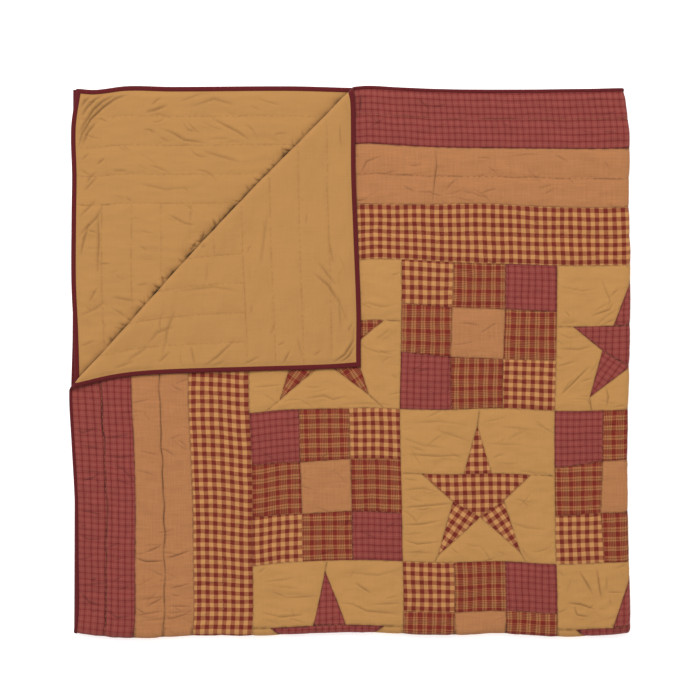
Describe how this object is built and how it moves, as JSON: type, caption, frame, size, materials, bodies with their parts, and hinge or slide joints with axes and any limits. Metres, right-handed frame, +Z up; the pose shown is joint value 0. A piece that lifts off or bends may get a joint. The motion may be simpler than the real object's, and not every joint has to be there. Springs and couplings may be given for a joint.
{
  "type": "patchwork star quilt blanket",
  "caption": "Padded patchwork quilt of stars and ninepatch squares, folded in quarters on a surface, its top corner turned back to show the plain backing.",
  "frame": {"origin": "middle of the folded quilt's underside, on the surface that it lies on", "axes": "+Z up, +X towards the folded side edge, -Y towards the folded bottom edge, so the turned corner is at -X +Y"},
  "size_m": [1.1576, 1.141, 0.0345],
  "materials": {
    "patchwork": "washed cotton plaids and checks",
    "backing": "plain tan cotton, matt",
    "binding": "plain burgundy cotton, matt"
  },
  "bodies": {
    "root": {"patchwork_top": "patchwork", "backing": "backing", "binding": "binding"}
  },
  "joints": []
}
